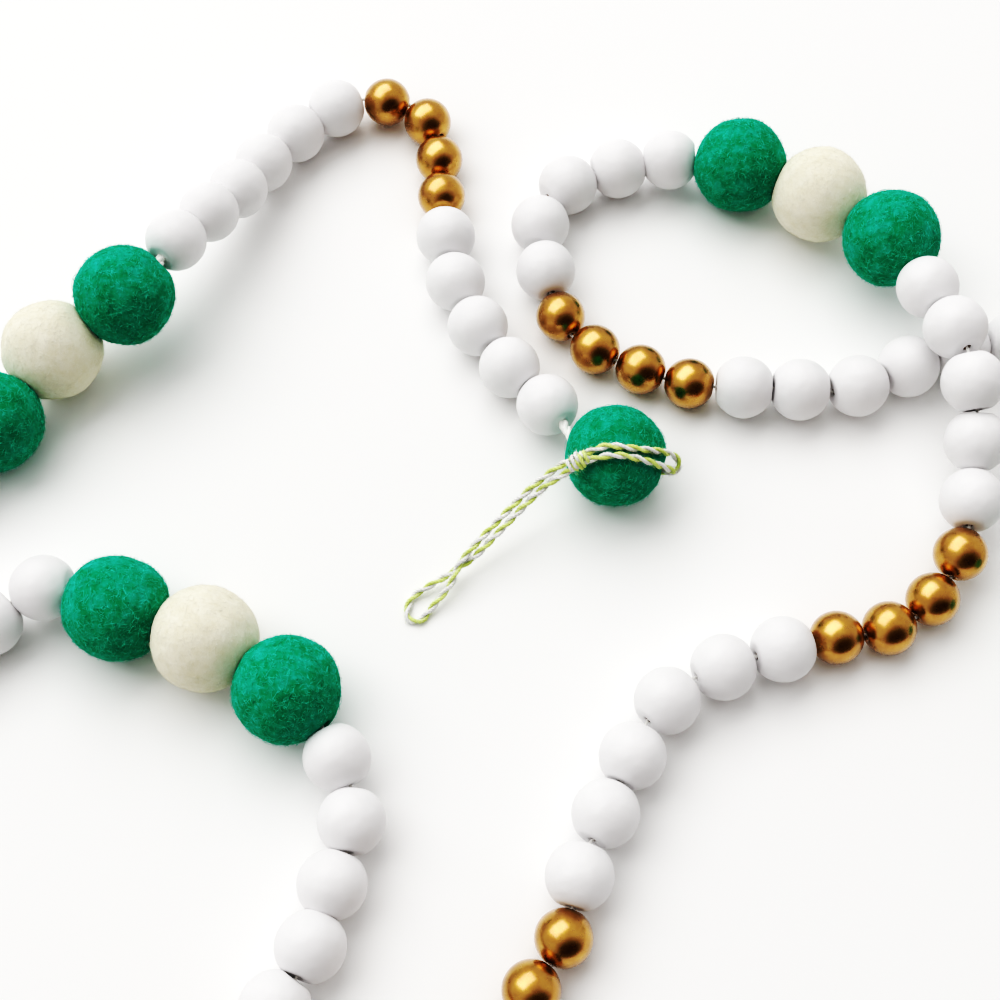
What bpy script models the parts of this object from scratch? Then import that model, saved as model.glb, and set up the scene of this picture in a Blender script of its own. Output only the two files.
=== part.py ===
"""A garland of felt balls, white wooden beads and gold beads on a white cotton string.

It lies on a table in loose curves and crosses over itself once. At each end a hanging loop
of two-ply twine, tied in a knot, goes into the hole of a felt ball. Lengths are in
millimetres until a mesh is made.
"""

import math

import bmesh
import bpy
from mathutils import Matrix, Vector

# Driving dimensions
MM = 0.001
GAP = 0.3
HOLE_RADIUS = 1.4
STRING_RADIUS = 0.9
STRING_SIDES = 6
STRING_END_DEPTH = 3.0
SHORT_GAP = 1.2
TWINE_RADIUS = 0.8
TWINE_STEP = 3.4
FELT_SQUASH = 0.4
SHARP_DEG = 50.0
KINDS = {
    "white": {"radius": 8.0, "length": 14.2, "sides": 10, "bands": 4, "felt": False},
    "gold": {"radius": 6.6, "length": 12.6, "sides": 8, "bands": 4, "felt": False},
    "green": {"radius": 12.7, "length": 21.4, "sides": 14, "bands": 6, "felt": True},
    "cream": {"radius": 12.7, "length": 21.4, "sides": 14, "bands": 6, "felt": True},
}

# The beads in the order in which they are strung. Before and between are the loose
# string ahead of the run and inside it, below zero where beads press into each other.
RUNS = (
    {"kind": "green", "count": 1, "before": 0.0, "between": 0.0},
    {"kind": "white", "count": 5, "before": 3.2, "between": 0.2},
    {"kind": "gold", "count": 4, "before": 0.4, "between": GAP},
    {"kind": "white", "count": 6, "before": GAP, "between": -1.2},
    {"kind": "green", "count": 1, "before": GAP, "between": 0.0},
    {"kind": "cream", "count": 1, "before": GAP, "between": 0.0},
    {"kind": "green", "count": 1, "before": GAP, "between": 0.0},
    {"kind": "white", "count": 5, "before": GAP, "between": -0.1},
    {"kind": "gold", "count": 4, "before": GAP, "between": GAP},
    {"kind": "white", "count": 5, "before": GAP, "between": -0.4},
    {"kind": "green", "count": 1, "before": GAP, "between": 0.0},
    {"kind": "cream", "count": 1, "before": 0.8, "between": 0.0},
    {"kind": "green", "count": 1, "before": GAP, "between": 0.0},
    {"kind": "white", "count": 5, "before": GAP, "between": -0.4},
    {"kind": "gold", "count": 4, "before": GAP, "between": GAP},
    {"kind": "white", "count": 6, "before": GAP, "between": 0.5},
    {"kind": "gold", "count": 4, "before": GAP, "between": GAP},
    {"kind": "white", "count": 6, "before": GAP, "between": 0.7},
    {"kind": "gold", "count": 4, "before": GAP, "between": GAP},
    {"kind": "white", "count": 5, "before": GAP, "between": -0.1},
    {"kind": "green", "count": 1, "before": GAP, "between": 0.0},
    {"kind": "cream", "count": 1, "before": GAP, "between": 0.0},
    {"kind": "green", "count": 1, "before": GAP, "between": 0.0},
    {"kind": "white", "count": 5, "before": GAP, "between": -0.4},
    {"kind": "gold", "count": 4, "before": GAP, "between": GAP},
    {"kind": "white", "count": 6, "before": GAP, "between": 0.1},
    {"kind": "gold", "count": 4, "before": GAP, "between": GAP},
    {"kind": "white", "count": 5, "before": GAP, "between": 0.2},
    {"kind": "green", "count": 1, "before": GAP, "between": 0.0},
)

# The line that the beads' centres follow, in x, y and height, chosen by hand. It runs on
# past the last ball, and a bead never lies lower than it does on the table.
NEAR_STRETCH = (
    (28.7, 7.2, 12.3),
    (20.0, 13.5, 11.0),
    (11.7, 23.1, 9.0),
    (-3.0, 40.5, 8.0),
    (-13.4, 60.9, 8.0),
    (-17.5, 83.0, 7.5),
    (-19.5, 103.1, 6.6),
    (-23.5, 115.6, 6.6),
    (-34.7, 121.5, 7.0),
    (-48.8, 118.0, 8.2),
    (-59.2, 109.4, 8.2),
    (-67.5, 97.7, 9.6),
    (-73.2, 85.2, 13.5),
    (-79.3, 74.2, 18.0),
    (-86.3, 62.6, 21.2),
    (-96.4, 47.0, 21.0),
    (-114.2, 35.2, 14.2),
    (-127.1, 15.2, 12.3),
)
LEFT_TURN = (
    (-138.0, -2.0, 9.0),
    (-152.0, -12.0, 0.0),
    (-169.0, -18.0, 0.0),
    (-187.0, -26.0, 0.0),
    (-198.0, -42.0, 0.0),
    (-192.0, -60.0, 0.0),
    (-174.0, -69.0, 0.0),
    (-153.0, -64.0, 0.0),
    (-136.0, -51.5, 0.0),
)
LEFT_STRETCH = (
    (-121.0, -39.0, 8.0),
    (-109.1, -31.5, 10.8),
    (-90.7, -37.0, 12.3),
    (-68.0, -44.6, 12.3),
    (-47.7, -57.1, 12.3),
    (-35.9, -72.0, 9.0),
    (-32.1, -86.7, 8.0),
    (-35.8, -101.2, 0.0),
    (-40.0, -115.5, 0.0),
    (-47.0, -128.4, 0.0),
)
FRONT_TURN = (
    (-56.0, -143.0, 0.0),
    (-61.0, -161.0, 0.0),
    (-58.5, -180.0, 0.0),
    (-47.0, -195.0, 0.0),
    (-30.0, -201.0, 0.0),
    (-13.0, -194.0, 0.0),
    (-3.5, -178.0, 0.0),
    (-1.5, -158.0, 0.0),
    (2.5, -137.0, 0.0),
)
MIDDLE_STRETCH = (
    (10.0, -120.7, 0.0),
    (16.8, -109.8, 0.0),
    (20.3, -95.9, 0.0),
    (32.8, -67.8, 0.0),
    (40.7, -55.3, 0.0),
    (54.1, -46.7, 0.0),
    (82.4, -37.8, 0.0),
    (95.4, -35.0, 0.0),
    (106.5, -27.3, 7.4),
    (113.0, -17.6, 9.9),
    (116.8, -3.8, 12.5),
    (118.7, 10.9, 15.3),
)
OVER_THE_STRAND = (
    (117.6, 23.5, 22.6),
    (114.7, 38.6, 24.0),
    (109.5, 52.6, 21.8),
)
BACK_STRETCH = (
    (102.6, 70.9, 17.8),
    (85.8, 87.3, 13.6),
    (64.4, 98.0, 12.3),
    (45.1, 101.5, 9.6),
    (30.0, 99.0, 8.0),
    (16.1, 92.8, 0.0),
    (9.1, 79.3, 0.0),
    (11.0, 64.4, 0.0),
    (15.4, 50.6, 0.0),
    (24.4, 41.3, 0.0),
    (48.4, 31.9, 0.0),
    (77.2, 30.0, 0.0),
    (92.3, 31.5, 0.0),
    (105.3, 37.5, 0.0),
)
FAR_STRETCH = (
    (119.5, 43.5, 0.0),
    (134.5, 46.0, 0.0),
    (150.0, 47.0, 0.0),
    (166.0, 44.0, 0.0),
    (180.0, 36.0, 0.0),
    (190.0, 23.0, 0.0),
    (194.0, 7.0, 0.0),
    (191.0, -9.0, 0.0),
    (183.0, -23.0, 0.0),
    (172.0, -33.0, 9.5),
    (156.0, -42.0, 12.3),
    (140.0, -51.0, 12.3),
    (120.0, -61.0, 12.3),
)
ROUTE = (
    NEAR_STRETCH
    + LEFT_TURN
    + LEFT_STRETCH
    + FRONT_TURN
    + MIDDLE_STRETCH
    + OVER_THE_STRAND
    + BACK_STRETCH
    + FAR_STRETCH
)
ROUTE_STEPS = 40
LAY_PASSES = 5
AIM_PASSES = 3

# The outward direction of the end balls' holes, in degrees from +X
NEAR_END_DEG = -15.0
FAR_END_DEG = 208.0

# The twine's route out of the near end ball's hole, round the loop and back into the
# hole, from the ball's centre and chosen by hand. Both strands pass through the knot.
LOOP_ROUTE = (
    (11.7, -3.6, -0.9),
    (13.6, -4.2, -0.5),
    (15.6, -3.3, 0.6),
    (14.9, -1.8, 3.2),
    (11.6, -2.4, 7.2),
    (6.3, -4.0, 11.4),
    (1.3, -4.3, 13.0),
    (-2.7, -3.9, 12.9),
    (-6.4, -4.7, 11.8),
    (-9.6, -5.7, 10.3),
    (-13.9, -6.9, 7.8),
    (-21.1, -11.1, 3.2),
    (-31.5, -20.1, -3.3),
    (-37.9, -27.2, -6.2),
    (-40.3, -32.4, -8.1),
    (-44.6, -37.6, -10.5),
    (-47.5, -41.0, -11.4),
    (-50.2, -41.0, -11.4),
    (-51.0, -38.4, -11.4),
    (-49.6, -34.9, -11.1),
    (-45.6, -32.3, -10.0),
    (-40.4, -29.2, -8.9),
    (-34.3, -25.4, -6.3),
    (-29.0, -20.5, -3.3),
    (-18.7, -11.6, 3.2),
    (-13.6, -9.1, 6.6),
    (-9.6, -7.6, 9.6),
    (-6.0, -6.6, 11.2),
    (-1.1, -6.2, 12.4),
    (3.8, -6.4, 11.6),
    (8.2, -6.4, 9.2),
    (12.2, -5.9, 5.4),
    (14.0, -5.2, 2.8),
    (13.7, -4.0, 1.3),
    (11.7, -3.2, 0.9),
)
KNOT = {
    "centre": (-9.8, -6.8, 9.9),
    "direction": (-0.83, -0.37, -0.42),
    "length": 6.0,
    "radius": 2.4,
    "waist": 0.35,
    "wraps": 3,
    "ridge": 0.09,
    "sides": 10,
    "bands": 12,
}

# Base colour, roughness and metallic value of each finish
FINISHES = {
    "white": ((0.86, 0.86, 0.87), 0.45, 0.0),
    "gold": ((0.80, 0.52, 0.16), 0.28, 1.0),
    "green": ((0.0, 0.33, 0.14), 1.0, 0.0),
    "cream": ((0.78, 0.74, 0.64), 1.0, 0.0),
    "string": ((0.85, 0.84, 0.80), 0.9, 0.0),
    "twine": ((0.52, 0.66, 0.17), 0.9, 0.0),
}

UP = Vector((0.0, 0.0, 1.0))


def clear_scene():
    for obj in list(bpy.data.objects):
        bpy.data.objects.remove(obj)


def finish(name):
    """The material of one finish, made once."""
    found = bpy.data.materials.get(name)
    if found:
        return found
    colour, roughness, metallic = FINISHES[name]
    material = bpy.data.materials.new(name)
    material.use_nodes = True
    shader = material.node_tree.nodes["Principled BSDF"]
    shader.inputs["Base Color"].default_value = (*colour, 1.0)
    shader.inputs["Roughness"].default_value = roughness
    shader.inputs["Metallic"].default_value = metallic
    return material


def smooth_line(points, steps):
    """A dense line along a smooth curve through the points."""
    given = [Vector(p) for p in points]
    given = [2 * given[0] - given[1], *given, 2 * given[-1] - given[-2]]
    dense = []
    for a, b, c, d in zip(given, given[1:], given[2:], given[3:]):
        for step in range(steps):
            t = step / steps
            bend = (2 * a - 5 * b + 4 * c - d) * t**2 + (3 * b - a - 3 * c + d) * t**3
            dense.append(0.5 * (2 * b + (c - a) * t + bend))
    return [*dense, given[-2]]


def even_line(points, step):
    """The same line, with a point about every step."""
    walked = [0.0]
    for a, b in zip(points, points[1:]):
        walked.append(walked[-1] + (b - a).length)
    count = round(walked[-1] / step)
    even = []
    place = 0
    for number in range(count + 1):
        wanted = walked[-1] * number / count
        while place < len(points) - 2 and walked[place + 1] < wanted:
            place += 1
        share = (wanted - walked[place]) / (walked[place + 1] - walked[place])
        even.append(points[place].lerp(points[place + 1], share))
    return even


def flat_radius(size):
    """The radius of the flat round the hole at a bead's end."""
    return math.sqrt(size["radius"] ** 2 - (size["length"] / 2) ** 2)


def reach(size, tilt):
    """How far a bead tilted on the string reaches towards its neighbour."""
    edge = math.asin(flat_radius(size) / size["radius"])
    return size["radius"] * math.cos(max(0.0, edge - tilt))


def rest_height(size):
    return size["radius"] - (FELT_SQUASH if size["felt"] else 0.0)


def turned(degrees):
    angle = math.radians(degrees)
    return Vector((math.cos(angle), math.sin(angle), 0.0))


def mouths(bead):
    """The centres of the hole's two ends, in the string's order."""
    half = bead["axis"] * bead["size"]["length"] / 2
    return bead["centre"] - half, bead["centre"] + half


def strung_beads():
    """One entry for each bead, with the loose string before it."""
    beads = []
    for number, run in enumerate(RUNS):
        for place in range(run["count"]):
            bead = {"kind": run["kind"], "size": KINDS[run["kind"]], "run": number}
            bead["room"] = run["between"] if place else run["before"]
            bead["reach_back"] = bead["reach_ahead"] = bead["size"]["length"] / 2
            beads.append(bead)
    return beads


def walk_along(line, beads):
    """Centres each bead on the line, as far from the one before as the two reach."""
    place = 0
    beads[0]["centre"] = line[0].copy()
    for before, bead in zip(beads, beads[1:]):
        low = rest_height(bead["size"])
        wanted = before["reach_ahead"] + bead["room"] + bead["reach_back"]
        last = before["centre"]
        last_far = 0.0
        for place in range(place, len(line)):
            point = line[place].copy()
            point.z = max(point.z, low)
            far = (point - before["centre"]).length
            if far >= wanted:
                break
            last, last_far = point, far
        bead["centre"] = last.lerp(point, (wanted - last_far) / (far - last_far))


def aim_holes(beads):
    """Points each hole along the line, then towards its neighbours' holes, so that the
    string runs smoothly. The end balls have their own direction."""
    beads[0]["axis"] = -turned(NEAR_END_DEG)
    beads[-1]["axis"] = turned(FAR_END_DEG)
    for before, bead, after in zip(beads, beads[1:], beads[2:]):
        into = (bead["centre"] - before["centre"]).normalized()
        out = (after["centre"] - bead["centre"]).normalized()
        bead["axis"] = (into + out).normalized()
    for _ in range(AIM_PASSES):
        for before, bead, after in zip(beads, beads[1:], beads[2:]):
            towards = (mouths(after)[0] - mouths(before)[1]).normalized()
            bead["axis"] = (bead["axis"] + towards).normalized()


def measure_reaches(beads):
    """How far each bead reaches back and ahead, now that it is turned."""
    for before, bead in zip(beads, beads[1:]):
        between = bead["centre"] - before["centre"]
        before["reach_ahead"] = reach(before["size"], before["axis"].angle(between))
        bead["reach_back"] = reach(bead["size"], bead["axis"].angle(between))


def lay_beads():
    """Every bead with its centre and the direction of its hole."""
    line = smooth_line(ROUTE, ROUTE_STEPS)
    beads = strung_beads()
    for _ in range(LAY_PASSES):
        walk_along(line, beads)
        aim_holes(beads)
        measure_reaches(beads)
    return beads


def string_between(before, after):
    """The string's corners between two beads: one where they nearly touch, or one at each mouth."""
    leave = mouths(before)[1]
    enter = mouths(after)[0]
    if (enter - leave).length < SHORT_GAP:
        return [(leave + enter) / 2]
    return [leave, enter]


def ring(centre, axis, radius, sides):
    """The corners of a circle round an axis, the lowest of them first."""
    across = axis.cross(UP).normalized()
    down = axis.cross(across).normalized()
    corners = []
    for number in range(sides):
        angle = 2 * math.pi * number / sides
        corners.append(centre + radius * (math.cos(angle) * down + math.sin(angle) * across))
    return corners


def ball_rings(bead):
    """The rings of a bead's outside, from one flat's edge to the other's."""
    size = bead["size"]
    edge = math.asin(size["length"] / 2 / size["radius"])
    rings = []
    for number in range(size["bands"] + 1):
        latitude = edge * (2 * number / size["bands"] - 1)
        centre = bead["centre"] + bead["axis"] * size["radius"] * math.sin(latitude)
        rings.append(ring(centre, bead["axis"], size["radius"] * math.cos(latitude), size["sides"]))
    return rings


def ringed_mesh(name, rings, middle, through):
    """A closed mesh over the rings, about its middle. Where the rings lead through a hole,
    the last ring joins the first, and otherwise both ends are capped."""
    bm = bmesh.new()
    loops = [[bm.verts.new((point - middle) * MM) for point in corners] for corners in rings]
    pairs = list(zip(loops, loops[1:]))
    if through:
        pairs.append((loops[-1], loops[0]))
    else:
        bm.faces.new(loops[0])
        bm.faces.new(loops[-1])
    for one, other in pairs:
        for number in range(len(one)):
            after = (number + 1) % len(one)
            bm.faces.new((one[number], one[after], other[after], other[number]))
    bmesh.ops.recalc_face_normals(bm, faces=bm.faces)
    mesh = bpy.data.meshes.new(name)
    bm.to_mesh(mesh)
    bm.free()
    return mesh


def flatten_under(mesh, height):
    """Cuts a mesh flat where it lies on the table, this far below its middle."""
    bm = bmesh.new()
    bm.from_mesh(mesh)
    geometry = [*bm.verts, *bm.edges, *bm.faces]
    cut = bmesh.ops.bisect_plane(
        bm, geom=geometry, plane_co=(0.0, 0.0, -height * MM), plane_no=(0.0, 0.0, -1.0), clear_outer=True
    )
    edges = [piece for piece in cut["geom_cut"] if isinstance(piece, bmesh.types.BMEdge)]
    if edges:
        bmesh.ops.edgeloop_fill(bm, edges=edges)
        bmesh.ops.recalc_face_normals(bm, faces=bm.faces)
    bm.to_mesh(mesh)
    bm.free()


def add_object(name, data, middle, finish_name):
    obj = bpy.data.objects.new(name, data)
    obj.location = middle * MM
    bpy.context.scene.collection.objects.link(obj)
    if not data.materials:
        data.materials.append(finish(finish_name))
    if obj.type == "MESH":
        data.shade_smooth()
        data.set_sharp_from_angle(angle=math.radians(SHARP_DEG))
    return obj


def add_ball(name, bead):
    """A lone bead or felt ball with its hole."""
    size = bead["size"]
    entry, leave = mouths(bead)
    rings = ball_rings(bead)
    rings.append(ring(leave, bead["axis"], HOLE_RADIUS, size["sides"]))
    rings.append(ring(entry, bead["axis"], HOLE_RADIUS, size["sides"]))
    mesh = ringed_mesh(name, rings, bead["centre"], through=True)
    if size["felt"]:
        flatten_under(mesh, bead["centre"].z)
    return add_object(name, mesh, bead["centre"], bead["kind"])


def add_run(name, beads):
    """A run of beads pressed together, each pair sharing the ring where their flats meet."""
    size = beads[0]["size"]
    rings = ball_rings(beads[0])
    hole = [ring(mouths(beads[0])[0], beads[0]["axis"], HOLE_RADIUS, size["sides"])]
    for before, bead in zip(beads, beads[1:]):
        meeting = (mouths(before)[1] + mouths(bead)[0]) / 2
        shared = (before["axis"] + bead["axis"]).normalized()
        rings[-1] = ring(meeting, shared, flat_radius(size), size["sides"])
        rings.extend(ball_rings(bead)[1:])
        corners = string_between(before, bead)
        hole.extend(ring(corner, shared, HOLE_RADIUS, size["sides"]) for corner in corners)
    hole.append(ring(mouths(beads[-1])[1], beads[-1]["axis"], HOLE_RADIUS, size["sides"]))
    rings.extend(reversed(hole))
    middle = sum((bead["centre"] for bead in beads), Vector()) / len(beads)
    mesh = ringed_mesh(name, rings, middle, through=True)
    return add_object(name, mesh, middle, beads[0]["kind"])


def add_string(name, beads):
    """The string through every hole, ending inside the two end balls."""
    corners = [mouths(beads[0])[0] + beads[0]["axis"] * STRING_END_DEPTH]
    for before, bead in zip(beads, beads[1:]):
        corners.extend(string_between(before, bead))
    corners.append(mouths(beads[-1])[1] - beads[-1]["axis"] * STRING_END_DEPTH)
    ends = [corners[0], *corners, corners[-1]]
    rings = []
    for back, corner, ahead in zip(ends, corners, ends[2:]):
        rings.append(ring(corner, (ahead - back).normalized(), STRING_RADIUS, STRING_SIDES))
    mesh = ringed_mesh(name, rings, corners[0], through=False)
    return add_object(name, mesh, corners[0], "string")


def knot_mesh(name):
    """The knot, a barrel with a ridge for each wrap."""
    direction = Vector(KNOT["direction"]).normalized()
    rings = []
    for number in range(KNOT["bands"] + 1):
        share = 2 * number / KNOT["bands"] - 1
        centre = direction * KNOT["length"] / 2 * share
        barrel = math.sqrt(1 - (1 - KNOT["waist"]) * share**2)
        ridges = 1 + KNOT["ridge"] * math.cos(math.pi * KNOT["wraps"] * share)
        rings.append(ring(centre, direction, KNOT["radius"] * barrel * ridges, KNOT["sides"]))
    return ringed_mesh(name, rings, Vector(), through=False)


def strand_mesh(name):
    """The twine of a hanging loop, as a tube about the knot's centre."""
    curve = bpy.data.curves.new(name, "CURVE")
    curve.dimensions = "3D"
    curve.bevel_depth = TWINE_RADIUS * MM
    curve.bevel_resolution = 2
    curve.use_fill_caps = True
    points = even_line(smooth_line(LOOP_ROUTE, ROUTE_STEPS), TWINE_STEP)
    spline = curve.splines.new("POLY")
    spline.points.add(len(points) - 1)
    for place, point in zip(spline.points, points):
        place.co = (*((point - Vector(KNOT["centre"])) * MM), 1.0)
    guide = bpy.data.objects.new(name, curve)
    bpy.context.scene.collection.objects.link(guide)
    shape = guide.evaluated_get(bpy.context.evaluated_depsgraph_get())
    mesh = bpy.data.meshes.new_from_object(shape)
    bpy.data.objects.remove(guide)
    mesh.materials.clear()
    return mesh


def add_loop(name, ball, outward_deg):
    """A hanging loop: the twine, joined with its knot."""
    turn = Matrix.Rotation(math.radians(outward_deg - NEAR_END_DEG), 3, "Z")
    middle = ball["centre"] + turn @ Vector(KNOT["centre"])
    loop = add_object(name, knot_mesh(name), middle, "twine")
    strand = add_object(name + "_strand", strand_mesh(name + "_strand"), middle, "twine")
    strand.hide_render = True
    strand.display_type = "WIRE"
    for obj in (loop, strand):
        obj.rotation_euler.z = math.radians(outward_deg - NEAR_END_DEG)
    union = loop.modifiers.new("strand", "BOOLEAN")
    union.operation = "UNION"
    union.solver = "EXACT"
    union.object = strand
    return loop


def centre_on_origin(solids, objects):
    """Moves everything so that the origin is under the middle of the solids' box."""
    bpy.context.view_layer.update()
    corners = [solid.matrix_world @ vertex.co for solid in solids for vertex in solid.data.vertices]
    shift = Vector()
    for axis in (0, 1):
        places = [corner[axis] for corner in corners]
        shift[axis] = (min(places) + max(places)) / 2
    for obj in objects:
        obj.location -= shift


def main():
    clear_scene()
    beads = lay_beads()
    counts = {}
    solids = []
    for number, run in enumerate(RUNS):
        strung = [bead for bead in beads if bead["run"] == number]
        groups = [strung] if run["kind"] == "white" else [[bead] for bead in strung]
        for group in groups:
            kind = run["kind"]
            counts[kind] = counts.get(kind, 0) + 1
            if kind == "white":
                solids.append(add_run(f"white_beads_{counts[kind]:02d}", group))
            elif kind == "gold":
                solids.append(add_ball(f"gold_bead_{counts[kind]:02d}", group[0]))
            else:
                solids.append(add_ball(f"{kind}_ball_{counts[kind]:02d}", group[0]))
    add_string("string", beads)
    add_loop("hanging_loop_01", beads[0], NEAR_END_DEG)
    add_loop("hanging_loop_02", beads[-1], FAR_END_DEG)
    centre_on_origin(solids, list(bpy.data.objects))


main()
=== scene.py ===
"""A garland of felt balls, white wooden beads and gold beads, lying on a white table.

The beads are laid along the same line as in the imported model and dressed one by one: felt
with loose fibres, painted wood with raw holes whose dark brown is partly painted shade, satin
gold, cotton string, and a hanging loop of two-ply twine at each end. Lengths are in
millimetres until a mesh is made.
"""

import math

import bpy
import numpy as np
from mathutils import Matrix, Vector, noise


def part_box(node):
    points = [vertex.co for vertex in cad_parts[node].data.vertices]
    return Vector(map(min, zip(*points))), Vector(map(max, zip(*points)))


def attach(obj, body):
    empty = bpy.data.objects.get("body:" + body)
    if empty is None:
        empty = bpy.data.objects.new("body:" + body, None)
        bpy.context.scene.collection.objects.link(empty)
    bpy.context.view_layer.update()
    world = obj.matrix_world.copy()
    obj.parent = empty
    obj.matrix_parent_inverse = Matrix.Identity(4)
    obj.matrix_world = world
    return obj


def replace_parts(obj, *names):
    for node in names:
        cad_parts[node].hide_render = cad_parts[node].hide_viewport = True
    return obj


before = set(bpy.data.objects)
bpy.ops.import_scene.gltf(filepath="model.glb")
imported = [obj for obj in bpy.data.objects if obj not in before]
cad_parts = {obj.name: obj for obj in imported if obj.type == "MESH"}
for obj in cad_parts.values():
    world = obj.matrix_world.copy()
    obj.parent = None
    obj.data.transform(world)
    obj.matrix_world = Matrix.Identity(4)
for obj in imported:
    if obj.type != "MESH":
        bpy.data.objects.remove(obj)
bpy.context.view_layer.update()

# Driving dimensions
MM = 0.001
GAP = 0.3
STRING_END_DEPTH = 3.0
SHORT_GAP = 1.2
TWINE_RADIUS = 0.8
FELT_SQUASH = 0.4
TABLE_CLEARANCE = 0.05
TABLE_HALF_M = 3.0
RANDOM_SEED = 7

# Each kind's radius and its length along the hole, the hole's radius, and how widely the
# form rounds at its end's outer edge and at the hole's rim
KINDS = {
    "white": {"radius": 8.0, "length": 14.2, "hole": 1.0, "edge": 0.8, "rim": 0.5, "felt": False},
    "gold": {"radius": 6.6, "length": 12.6, "hole": 1.0, "edge": 0.4, "rim": 0.4, "felt": False},
    "green": {"radius": 12.7, "length": 21.4, "hole": 1.3, "edge": 1.2, "rim": 0.8, "felt": True},
    "cream": {"radius": 12.7, "length": 21.4, "hole": 1.3, "edge": 1.2, "rim": 0.8, "felt": True},
}

# The beads in the order in which they are strung. Before and between are the loose
# string ahead of the run and inside it, below zero where beads press into each other.
RUNS = (
    {"kind": "green", "count": 1, "before": 0.0, "between": 0.0},
    {"kind": "white", "count": 5, "before": 3.2, "between": 0.2},
    {"kind": "gold", "count": 4, "before": 0.4, "between": GAP},
    {"kind": "white", "count": 6, "before": GAP, "between": -1.2},
    {"kind": "green", "count": 1, "before": GAP, "between": 0.0},
    {"kind": "cream", "count": 1, "before": GAP, "between": 0.0},
    {"kind": "green", "count": 1, "before": GAP, "between": 0.0},
    {"kind": "white", "count": 5, "before": GAP, "between": -0.1},
    {"kind": "gold", "count": 4, "before": GAP, "between": GAP},
    {"kind": "white", "count": 5, "before": GAP, "between": -0.4},
    {"kind": "green", "count": 1, "before": GAP, "between": 0.0},
    {"kind": "cream", "count": 1, "before": 0.8, "between": 0.0},
    {"kind": "green", "count": 1, "before": GAP, "between": 0.0},
    {"kind": "white", "count": 5, "before": GAP, "between": -0.4},
    {"kind": "gold", "count": 4, "before": GAP, "between": GAP},
    {"kind": "white", "count": 6, "before": GAP, "between": 0.5},
    {"kind": "gold", "count": 4, "before": GAP, "between": GAP},
    {"kind": "white", "count": 6, "before": GAP, "between": 0.7},
    {"kind": "gold", "count": 4, "before": GAP, "between": GAP},
    {"kind": "white", "count": 5, "before": GAP, "between": -0.1},
    {"kind": "green", "count": 1, "before": GAP, "between": 0.0},
    {"kind": "cream", "count": 1, "before": GAP, "between": 0.0},
    {"kind": "green", "count": 1, "before": GAP, "between": 0.0},
    {"kind": "white", "count": 5, "before": GAP, "between": -0.4},
    {"kind": "gold", "count": 4, "before": GAP, "between": GAP},
    {"kind": "white", "count": 6, "before": GAP, "between": 0.1},
    {"kind": "gold", "count": 4, "before": GAP, "between": GAP},
    {"kind": "white", "count": 5, "before": GAP, "between": 0.2},
    {"kind": "green", "count": 1, "before": GAP, "between": 0.0},
)

# The line that the beads' centres follow, in x, y and height. It runs on
# past the last ball, and a bead never lies lower than it does on the table.
NEAR_STRETCH = (
    (28.7, 7.2, 12.3),
    (20.0, 13.5, 11.0),
    (11.7, 23.1, 9.0),
    (-3.0, 40.5, 8.0),
    (-13.4, 60.9, 8.0),
    (-17.5, 83.0, 7.5),
    (-19.5, 103.1, 6.6),
    (-23.5, 115.6, 6.6),
    (-34.7, 121.5, 7.0),
    (-48.8, 118.0, 8.2),
    (-59.2, 109.4, 8.2),
    (-67.5, 97.7, 9.6),
    (-73.2, 85.2, 13.5),
    (-79.3, 74.2, 18.0),
    (-86.3, 62.6, 21.2),
    (-96.4, 47.0, 21.0),
    (-114.2, 35.2, 14.2),
    (-127.1, 15.2, 12.3),
)
LEFT_TURN = (
    (-138.0, -2.0, 9.0),
    (-152.0, -12.0, 0.0),
    (-169.0, -18.0, 0.0),
    (-187.0, -26.0, 0.0),
    (-198.0, -42.0, 0.0),
    (-192.0, -60.0, 0.0),
    (-174.0, -69.0, 0.0),
    (-153.0, -64.0, 0.0),
    (-136.0, -51.5, 0.0),
)
LEFT_STRETCH = (
    (-121.0, -39.0, 8.0),
    (-109.1, -31.5, 10.8),
    (-90.7, -37.0, 12.3),
    (-68.0, -44.6, 12.3),
    (-47.7, -57.1, 12.3),
    (-35.9, -72.0, 9.0),
    (-32.1, -86.7, 8.0),
    (-35.8, -101.2, 0.0),
    (-40.0, -115.5, 0.0),
    (-47.0, -128.4, 0.0),
)
FRONT_TURN = (
    (-56.0, -143.0, 0.0),
    (-61.0, -161.0, 0.0),
    (-58.5, -180.0, 0.0),
    (-47.0, -195.0, 0.0),
    (-30.0, -201.0, 0.0),
    (-13.0, -194.0, 0.0),
    (-3.5, -178.0, 0.0),
    (-1.5, -158.0, 0.0),
    (2.5, -137.0, 0.0),
)
MIDDLE_STRETCH = (
    (10.0, -120.7, 0.0),
    (16.8, -109.8, 0.0),
    (20.3, -95.9, 0.0),
    (32.8, -67.8, 0.0),
    (40.7, -55.3, 0.0),
    (54.1, -46.7, 0.0),
    (82.4, -37.8, 0.0),
    (95.4, -35.0, 0.0),
    (106.5, -27.3, 7.4),
    (113.0, -17.6, 9.9),
    (116.8, -3.8, 12.5),
    (118.7, 10.9, 15.3),
)
OVER_THE_STRAND = (
    (117.6, 23.5, 22.6),
    (114.7, 38.6, 24.0),
    (109.5, 52.6, 21.8),
)
BACK_STRETCH = (
    (102.6, 70.9, 17.8),
    (85.8, 87.3, 13.6),
    (64.4, 98.0, 12.3),
    (45.1, 101.5, 9.6),
    (30.0, 99.0, 8.0),
    (16.1, 92.8, 0.0),
    (9.1, 79.3, 0.0),
    (11.0, 64.4, 0.0),
    (15.4, 50.6, 0.0),
    (24.4, 41.3, 0.0),
    (48.4, 31.9, 0.0),
    (77.2, 30.0, 0.0),
    (92.3, 31.5, 0.0),
    (105.3, 37.5, 0.0),
)
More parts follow.
